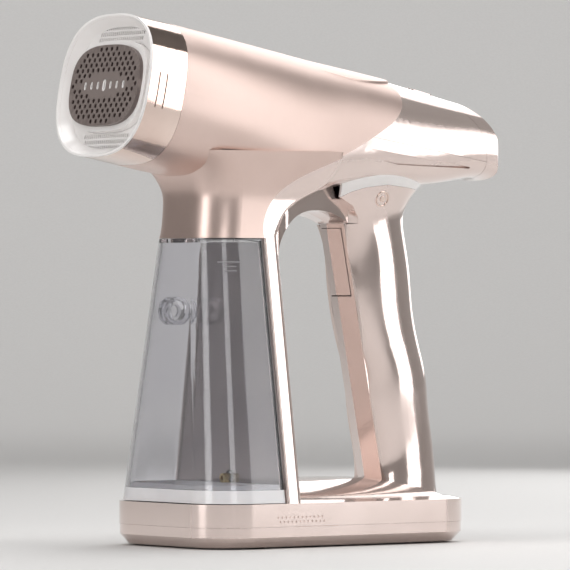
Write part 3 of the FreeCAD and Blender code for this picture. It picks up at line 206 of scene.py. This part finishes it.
middle = (0, 0, 0.13)
soft_box("box_left", seen(0.75, -1.0, 0.35), middle, (0.4, 1.6), 8)
soft_box("box_right", seen(0.35, 1.15, 0.35), middle, (0.5, 1.6), 6)
soft_box("box_top", (0.1, 0.0, 1.25), middle, (1.3, 0.8), 13)
soft_box("box_front", seen(1.5, 0.35, 0.75), middle, (0.4, 0.9), 3.5)
soft_box("box_back", seen(-0.9, 0.4, 0.6), middle, (0.8, 1.0), 4)
soft_box("box_wall", seen(-2.2, 0, 2.6), seen(-4.6, 0, 0.9), (4.0, 1.5), 55)
world = bpy.data.worlds.new("studio")
bpy.context.scene.world = world
world.use_nodes = True
world.node_tree.nodes["Background"].inputs["Color"].default_value = (0.52, 0.43, 0.40, 1)
world.node_tree.nodes["Background"].inputs["Strength"].default_value = 0.42

# %% [markdown]
# ## How a finish is built
# Each finish is a small graph that ends in one Principled shader. Its patterns read Object coordinates, in
# metres, so that a grain of half a millimetre is the same size on every piece. Numbers that are the same
# all over, such as the strength of the clear coat, are set on the shader itself. Only colour, roughness
# and the bumps of the surface come through links.

# %% A start for every finish
def new_finish(name):
    material = bpy.data.materials.new(name)
    material.use_nodes = True
    tree = material.node_tree
    tree.nodes.clear()
    output = tree.nodes.new("ShaderNodeOutputMaterial")
    shader = tree.nodes.new("ShaderNodeBsdfPrincipled")
    tree.links.new(shader.outputs["BSDF"], output.inputs["Surface"])
    place = tree.nodes.new("ShaderNodeTexCoord")
    return material, tree, shader, place


def noise(tree, place, scale, detail=3.0, stretch=None):
    """Noise in Object coordinates; scale is in features per metre."""
    texture = tree.nodes.new("ShaderNodeTexNoise")
    texture.inputs["Scale"].default_value = scale
    texture.inputs["Detail"].default_value = detail
    if stretch:
        mapping = tree.nodes.new("ShaderNodeMapping")
        mapping.inputs["Scale"].default_value = stretch
        tree.links.new(place.outputs["Object"], mapping.inputs["Vector"])
        tree.links.new(mapping.outputs["Vector"], texture.inputs["Vector"])
    else:
        tree.links.new(place.outputs["Object"], texture.inputs["Vector"])
    return texture.outputs["Fac"]


def ramp(tree, source, stops):
    """Colour ramp; stops are (position, colour)."""
    node = tree.nodes.new("ShaderNodeValToRGB")
    tree.links.new(source, node.inputs["Fac"])
    elements = node.color_ramp.elements
    while len(elements) < len(stops):
        elements.new(0.5)
    for element, (position, colour) in zip(elements, stops):
        element.position = position
        element.color = (*colour, 1)
    return node.outputs["Color"]


def between(tree, source, low, high):
    """Turn a 0 to 1 pattern into a range of plain numbers."""
    node = tree.nodes.new("ShaderNodeMapRange")
    node.inputs["To Min"].default_value = low
    node.inputs["To Max"].default_value = high
    tree.links.new(source, node.inputs["Value"])
    return node.outputs["Result"]


def bumps(tree, source, height, previous=None):
    """Raise the surface by a pattern; height is in metres."""
    node = tree.nodes.new("ShaderNodeBump")
    node.inputs["Strength"].default_value = 1.0
    node.inputs["Distance"].default_value = height
    tree.links.new(source, node.inputs["Height"])
    if previous:
        tree.links.new(previous, node.inputs["Normal"])
    return node.outputs["Normal"]


print("finish helpers are ready")

# %% [markdown]
# ## Two skins of the same rose pearl
# The front shell is a satin metallic lacquer: fine flakes under a matt coat, so that highlights spread wide
# and soft. The tail, the handle and the base carry the same pearl under a high gloss. Both are one recipe
# with different numbers. The flake is a very fine noise that shifts the colour a little, and the large,
# slow noise is the unevenness that any sprayed coat has.

# %% Pearl lacquer, satin and gloss
def pearl(name, light, dark, metal, rough_low, rough_high, coat, flake, grain):
    material, tree, shader, place = new_finish(name)
    slow = noise(tree, place, 38, 4)
    fine = noise(tree, place, flake, 2)
    mix = tree.nodes.new("ShaderNodeMix")
    mix.data_type = "FLOAT"
    mix.inputs[0].default_value = 0.45
    tree.links.new(slow, mix.inputs[2])
    tree.links.new(fine, mix.inputs[3])
    colour = ramp(tree, mix.outputs[0], [(0.3, dark), (0.7, light)])
    tree.links.new(colour, shader.inputs["Base Color"])
    tree.links.new(between(tree, slow, rough_low, rough_high), shader.inputs["Roughness"])
    orange_peel = bumps(tree, noise(tree, place, 160, 2), grain)
    tree.links.new(bumps(tree, fine, grain * 0.3, orange_peel), shader.inputs["Normal"])
    shader.inputs["Metallic"].default_value = metal
    shader.inputs["Coat Weight"].default_value = coat
    shader.inputs["Coat Roughness"].default_value = 0.03
    shader.inputs["IOR"].default_value = 1.5
    return material


FLAKE = 5200
satin_pearl = pearl("satin_pearl", (0.76, 0.60, 0.545), (0.69, 0.535, 0.48), 0.85, 0.33, 0.40, 0.0, FLAKE,
                    0.000006)
gloss_pearl = pearl("gloss_pearl", (0.84, 0.71, 0.665), (0.78, 0.65, 0.60), 0.72, 0.10, 0.16, 0.8, FLAKE,
                    0.000003)
print("made", satin_pearl.name, "and", gloss_pearl.name)

# %% [markdown]
# ## The polished band
# The ring round the steam head is champagne-coloured metal, turned and polished. Polishing leaves hair
# lines that run round the ring. They are noise squeezed along the barrel, used for the roughness and for a
# bump of one and a half micrometres, and a few wider smears stand for finger marks. The same recipe, with
# duller numbers, serves the plain metals inside.

# %% Polished champagne metal
def polished(name, light, dark, rough_low, rough_high):
    material, tree, shader, place = new_finish(name)
    hair = noise(tree, place, 60, 5, (1, 60, 1))
    smear = noise(tree, place, 45, 3)
    tree.links.new(ramp(tree, smear, [(0.35, dark), (0.65, light)]), shader.inputs["Base Color"])
    mix = tree.nodes.new("ShaderNodeMix")
    mix.data_type = "FLOAT"
    mix.inputs[0].default_value = 0.5
    tree.links.new(hair, mix.inputs[2])
    tree.links.new(smear, mix.inputs[3])
    tree.links.new(between(tree, mix.outputs[0], rough_low, rough_high), shader.inputs["Roughness"])
    tree.links.new(bumps(tree, hair, 0.0000015), shader.inputs["Normal"])
    shader.inputs["Metallic"].default_value = 1.0
    return material


champagne = polished("champagne_metal", (0.84, 0.69, 0.62), (0.76, 0.61, 0.545), 0.04, 0.13)
steel = polished("plain_steel", (0.62, 0.62, 0.63), (0.50, 0.50, 0.52), 0.22, 0.42)
cast = polished("cast_alloy", (0.66, 0.66, 0.67), (0.52, 0.52, 0.54), 0.45, 0.65)
brass = polished("turned_brass", (0.80, 0.62, 0.30), (0.66, 0.48, 0.20), 0.18, 0.32)
copper = polished("varnished_copper", (0.62, 0.28, 0.14), (0.48, 0.19, 0.09), 0.25, 0.40)
print("made", champagne.name, "and the plain metals")

# %% [markdown]
# ## Moulded plastics
# White rim parts are glossy, the engineering plastics inside are duller, and all of them show a faint
# mould texture and a slow change of tone. One recipe covers them.

# %% Moulded plastic
def moulded(name, light, dark, rough_low, rough_high, texture, height, coat=0.0, under=0.0):
    material, tree, shader, place = new_finish(name)
    slow = noise(tree, place, 55, 4)
    grain = noise(tree, place, texture, 3)
    tree.links.new(ramp(tree, slow, [(0.3, dark), (0.7, light)]), shader.inputs["Base Color"])
    tree.links.new(between(tree, grain, rough_low, rough_high), shader.inputs["Roughness"])
    tree.links.new(bumps(tree, grain, height), shader.inputs["Normal"])
    shader.inputs["Coat Weight"].default_value = coat
    shader.inputs["Coat Roughness"].default_value = 0.06
    shader.inputs["Subsurface Weight"].default_value = under
    shader.inputs["Subsurface Radius"].default_value = (0.003, 0.0025, 0.0022)
    shader.inputs["Subsurface Scale"].default_value = 0.5
    return material


rim_white = moulded("rim_white", (0.93, 0.90, 0.885), (0.88, 0.85, 0.835), 0.18, 0.30, 900, 0.000004, 0.4)
tank_white = moulded("closure_white", (0.86, 0.845, 0.855), (0.80, 0.785, 0.80),
                     0.16, 0.28, 800, 0.000004, 0.3, 0.2)
black_rubber = moulded("black_rubber", (0.035, 0.035, 0.036), (0.02, 0.02, 0.02), 0.6, 0.85, 1500, 0.00002)
silicone = moulded("silicone", (0.80, 0.78, 0.75), (0.72, 0.70, 0.67), 0.35, 0.5, 700, 0.000006, 0.0, 0.3)
engineering = moulded("ivory_plastic", (0.80, 0.78, 0.72), (0.72, 0.70, 0.64), 0.35, 0.5, 1200, 0.000008)
dark_plastic = moulded("dark_plastic", (0.045, 0.045, 0.05), (0.03, 0.03, 0.034), 0.35, 0.55, 1200, 0.000008)
wire_sleeve = moulded("wire_sleeve", (0.20, 0.19, 0.185), (0.14, 0.135, 0.13), 0.55, 0.75, 2600, 0.00003)
board_green = moulded("solder_mask", (0.045, 0.19, 0.10), (0.03, 0.14, 0.07), 0.22, 0.40, 1800, 0.00001, 0.3)
print("made the moulded plastics")

# %% [markdown]
# ## The steam plate
# The plate that touches the cloth is dark taupe with a satin ceramic coat. The coat is slightly mottled, and
# it wears a little brighter on raised edges. Pointiness tells convex edges from flat ground, so it
# drives that wear.

# %% Taupe ceramic coat
def ceramic():
    material, tree, shader, place = new_finish("taupe_ceramic")
    mottling = noise(tree, place, 420, 5)
    ground = ramp(tree, mottling, [(0.3, (0.115, 0.088, 0.082)), (0.7, (0.165, 0.130, 0.122))])
    geometry = tree.nodes.new("ShaderNodeNewGeometry")
    edge = ramp(tree, geometry.outputs["Pointiness"], [(0.50, (0, 0, 0)), (0.58, (1, 1, 1))])
    wear = tree.nodes.new("ShaderNodeMix")
    wear.data_type = "RGBA"
    wear.inputs[7].default_value = (0.26, 0.215, 0.20, 1)
    tree.links.new(edge, wear.inputs[0])
    tree.links.new(ground, wear.inputs[6])
    tree.links.new(wear.outputs[2], shader.inputs["Base Color"])
    tree.links.new(between(tree, mottling, 0.30, 0.46), shader.inputs["Roughness"])
    tree.links.new(bumps(tree, noise(tree, place, 2400, 3), 0.000012), shader.inputs["Normal"])
    shader.inputs["Metallic"].default_value = 0.25
    return material


taupe = ceramic()
print("made", taupe.name)

# %% [markdown]
# ## The clear tank
# The tank is one thick wall of clear plastic with a cool tint. Light must really pass through both faces of
# the wall, so it is a refracting shader on the closed CAD solid and not a thin transparent skin. Mould
# flow shows as very slow waves in the surface, and fine scuffs vary its roughness all over.

# %% Clear plastic
def clear_plastic():
    material, tree, shader, place = new_finish("clear_tank")
    flow = noise(tree, place, 26, 2)
    scuff = noise(tree, place, 900, 4, (1, 1, 0.25))
    tint = ramp(tree, flow, [(0.3, (0.90, 0.90, 0.935)), (0.7, (0.95, 0.95, 0.97))])
    tree.links.new(tint, shader.inputs["Base Color"])
    tree.links.new(between(tree, scuff, 0.015, 0.07), shader.inputs["Roughness"])
    tree.links.new(bumps(tree, flow, 0.00004), shader.inputs["Normal"])
    shader.inputs["Transmission Weight"].default_value = 0.96
    shader.inputs["IOR"].default_value = 1.46
    return material


clear_tank = clear_plastic()
print("made", clear_tank.name)

# %% [markdown]
# ## Dress the CAD pieces
# A CAD piece keeps its mesh. It is shaded smooth wherever two faces meet at a small angle, and its one
# material slot gets the finish that suits it.

# %% Give each piece its finish
finish_of = {
    "head_band": champagne, "front_rim": rim_white, "grille_ring": rim_white, "plate_plinth": rim_white,
    "steam_plate": taupe, "chamber_gasket": silicone, "steam_chamber": cast, "chamber_lid": cast,
    "heating_element": steel, "chamber_screws": steel, "thermostat": dark_plastic, "thermal_fuse": steel,
    "base_screws": steel, "rubber_feet": black_rubber, "cord_gland": dark_plastic,
    "terminal_block": engineering, "pump_body": engineering, "pump_coil": copper, "pump_plunger": steel,
    "pump_spring": steel, "suction_hose": silicone, "pump_hose": silicone, "barrel_shell": satin_pearl,
    "control_board": board_green, "water_socket": engineering, "handle_collar": rim_white,
    "trigger_pin": steel, "trigger_spring": steel, "microswitch": dark_plastic, "switch_plunger": engineering,
    "handle_loom": wire_sleeve, "heater_loom": wire_sleeve, "tank_body": clear_tank, "tank_floor": tank_white,
    "tank_valve": brass, "spigot_seal": black_rubber, "fill_plug": clear_tank,
}
for name, piece in nodes.items():
    clear_selection()
    piece.select_set(True)
    bpy.context.view_layer.objects.active = piece
    bpy.ops.object.shade_smooth_by_angle(angle=math.radians(32))
    piece.data.materials.clear()
    piece.data.materials.append(finish_of.get(name, gloss_pearl))
print("gloss pearl on", sorted(set(nodes) - set(finish_of)))

# %% [markdown]
# ## Side badge
# On the handle, where a maker would put a mark, there is a plain raised ring with a dot in the middle and no
# sign. It starts as a disc. Its front face is inset, pushed in, inset again and raised, which leaves a ring
# round a dot, and the edges are rounded. The disc is small enough to stay flat: it is turned to face the
# way the panel faces at its place and sunk by a fifth of a millimetre.

# %% Model the badge and lay it on both sides
BADGE_REACH, BADGE_Y, BADGE_Z = 0.03, 0.045, 0.172
BADGE_RADIUS = 0.0042
BADGE_SUNK = 0.0002


def nearest_on(node, point):
    _, place, normal, _ = nodes[node].closest_point_on_mesh(Vector(point))
    return place, normal


def make_badge(side, name):
    place, normal = nearest_on("handle_panel_right" if side > 0 else "handle_panel_left",
                               (side * BADGE_REACH, BADGE_Y + back_shift, BADGE_Z))
    clear_selection()
    bpy.ops.mesh.primitive_cylinder_add(vertices=64, radius=BADGE_RADIUS, depth=0.0012)
    badge = bpy.context.object
    bpy.ops.object.mode_set(mode="EDIT")
    bpy.ops.mesh.select_mode(type="FACE")
    select_faces(badge, lambda centre, n: n.z > 0.9)
    bpy.ops.mesh.inset(thickness=0.0008)
    bpy.ops.mesh.extrude_region_move(TRANSFORM_OT_translate={"value": (0, 0, -0.0005)})
    bpy.ops.mesh.inset(thickness=0.0019)
    bpy.ops.mesh.extrude_region_move(TRANSFORM_OT_translate={"value": (0, 0, 0.0005)})
    bpy.ops.object.mode_set(mode="OBJECT")
    round_edges(badge, 0.00012)
    badge.rotation_euler = normal.to_track_quat("Z", "Y").to_euler()
    badge.location = place - normal * BADGE_SUNK
    badge = settle(badge, name)
    bpy.ops.object.shade_smooth_by_angle(angle=math.radians(40))
    badge.data.materials.append(champagne)
    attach(badge, "housing")
    return badge


for side, name in ((1, "side_badge_right"), (-1, "side_badge_left")):
    badge = make_badge(side, name)
    print(badge.name, "has", len(badge.data.polygons), "faces")

# %% [markdown]
# ## Closing strips beside the finger opening
# Between the end of the window liner and the front edge of each handle panel lies a narrow gap that would
# show the dark inside of the handle. A closing strip bridges it. It starts as a grid with one row per height:
# one edge is laid on the liner, the other on the panel, and the sheet is then given a wall thickness.

# %% Lay the strips from edge to edge
LINER_EDGE = [(13.0, 28.1, 162.7), (13.1, 28.1, 165.0), (13.1, 28.1, 167.0), (13.1, 28.0, 169.0),
              (13.3, 26.7, 171.0), (14.0, 23.3, 173.0), (14.9, 19.4, 175.0)]
PANEL_EDGE = [(15.7, 32.7, 162.7), (16.2, 32.0, 165.0), (16.7, 30.9, 167.0), (17.3, 29.4, 169.0),
              (18.0, 27.9, 171.0), (18.5, 24.5, 173.0), (19.0, 20.7, 175.0)]


def closing_strip(side, name):
    clear_selection()
    bpy.ops.mesh.primitive_grid_add(x_subdivisions=4, y_subdivisions=len(LINER_EDGE) - 1, size=2)
    strip = bpy.context.object
    for vertex in strip.data.vertices:
        across = (vertex.co.x + 1) / 2
        row = round((vertex.co.y + 1) / 2 * (len(LINER_EDGE) - 1))
        place = Vector(LINER_EDGE[row]).lerp(Vector(PANEL_EDGE[row]), across) / 1000
        vertex.co = (side * place.x, place.y, place.z)
    wall = strip.modifiers.new("wall", "SOLIDIFY")
    wall.thickness = 0.0008
    wall.offset = 0
    bpy.ops.object.modifier_apply(modifier=wall.name)
    bpy.ops.object.mode_set(mode="EDIT")
    bpy.ops.mesh.select_all(action="SELECT")
    bpy.ops.mesh.normals_make_consistent(inside=False)
    bpy.ops.object.mode_set(mode="OBJECT")
    strip = settle(strip, name)
    bpy.ops.object.shade_smooth_by_angle(angle=math.radians(40))
    strip.data.materials.append(gloss_pearl)
    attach(strip, "housing")
    return strip


for side, name in ((1, "closing_strip_right"), (-1, "closing_strip_left")):
    strip = closing_strip(side, name)
    print(strip.name, "has", len(strip.data.polygons), "faces")

# %% [markdown]
# ## Level marks on the tank
# The tank carries its highest fill level near the top. The mark is printed, so it is a sliver of grey paint
# on the wall: one long line and two short ones below it. Each is a thin bar, subdivided so that it can
# bend, and pressed against the tank by a shrinkwrap.

# %% Print the level marks
ink = moulded("grey_ink", (0.30, 0.29, 0.30), (0.22, 0.21, 0.22), 0.4, 0.55, 1600, 0.000004)


MARK_Y, MARK_TOP_Z = -0.056, 0.1425
MARK_HEIGHT = 0.0007


def make_mark(name, centre_y, z, length):
    clear_selection()
    bpy.ops.mesh.primitive_plane_add(size=1)
    mark = bpy.context.object
    mark.scale = (length, MARK_HEIGHT, 1)
    mark.rotation_euler = (math.radians(90), 0, math.radians(90))
    mark.location = (0.05, centre_y, z)
    mark = settle(mark, name)
    bpy.ops.object.mode_set(mode="EDIT")
    bpy.ops.mesh.select_all(action="SELECT")
    bpy.ops.mesh.subdivide(number_cuts=12)
    bpy.ops.object.mode_set(mode="OBJECT")
    wrap = mark.modifiers.new("press", "SHRINKWRAP")
    wrap.target = nodes["tank_body"]
    wrap.wrap_method = "PROJECT"
    wrap.use_project_x = True
    wrap.use_negative_direction = True
    wrap.use_positive_direction = False
    wrap.offset = 0.00012
    bpy.ops.object.modifier_apply(modifier=wrap.name)
    thicken = mark.modifiers.new("thickness", "SOLIDIFY")
    thicken.thickness = 0.0001
    thicken.offset = 0
    bpy.ops.object.modifier_apply(modifier=thicken.name)
    bpy.ops.object.mode_set(mode="EDIT")
    bpy.ops.mesh.select_all(action="SELECT")
    bpy.ops.mesh.normals_make_consistent(inside=False)
    bpy.ops.object.mode_set(mode="OBJECT")
    mark.data.materials.append(ink)
    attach(mark, "tank")
    return mark


for number, (drop, length) in enumerate(((0.0, 0.011), (0.0022, 0.006), (0.0044, 0.006))):
    mark = make_mark("level_mark_%d" % (number + 1), MARK_Y + back_shift, MARK_TOP_Z - drop, length)
    print(mark.name, [round(v, 4) for v in mark.data.vertices[0].co])

# %% [markdown]
# ## Pale paper for the sweep
# The floor is plain matt paper. It still gets a faint fibre grain, so that the soft shadow has something to
# fall on.

# %% Paper
def paper():
    material, tree, shader, place = new_finish("pale_paper")
    fibre = noise(tree, place, 350, 6)
    tree.links.new(ramp(tree, fibre, [(0.3, (0.71, 0.70, 0.69)), (0.7, (0.74, 0.73, 0.72))]),
                   shader.inputs["Base Color"])
    tree.links.new(between(tree, fibre, 0.75, 0.9), shader.inputs["Roughness"])
    return material


sweep.data.materials.append(paper())
bpy.context.scene.view_settings.view_transform = "Standard"
print("the sweep is papered")
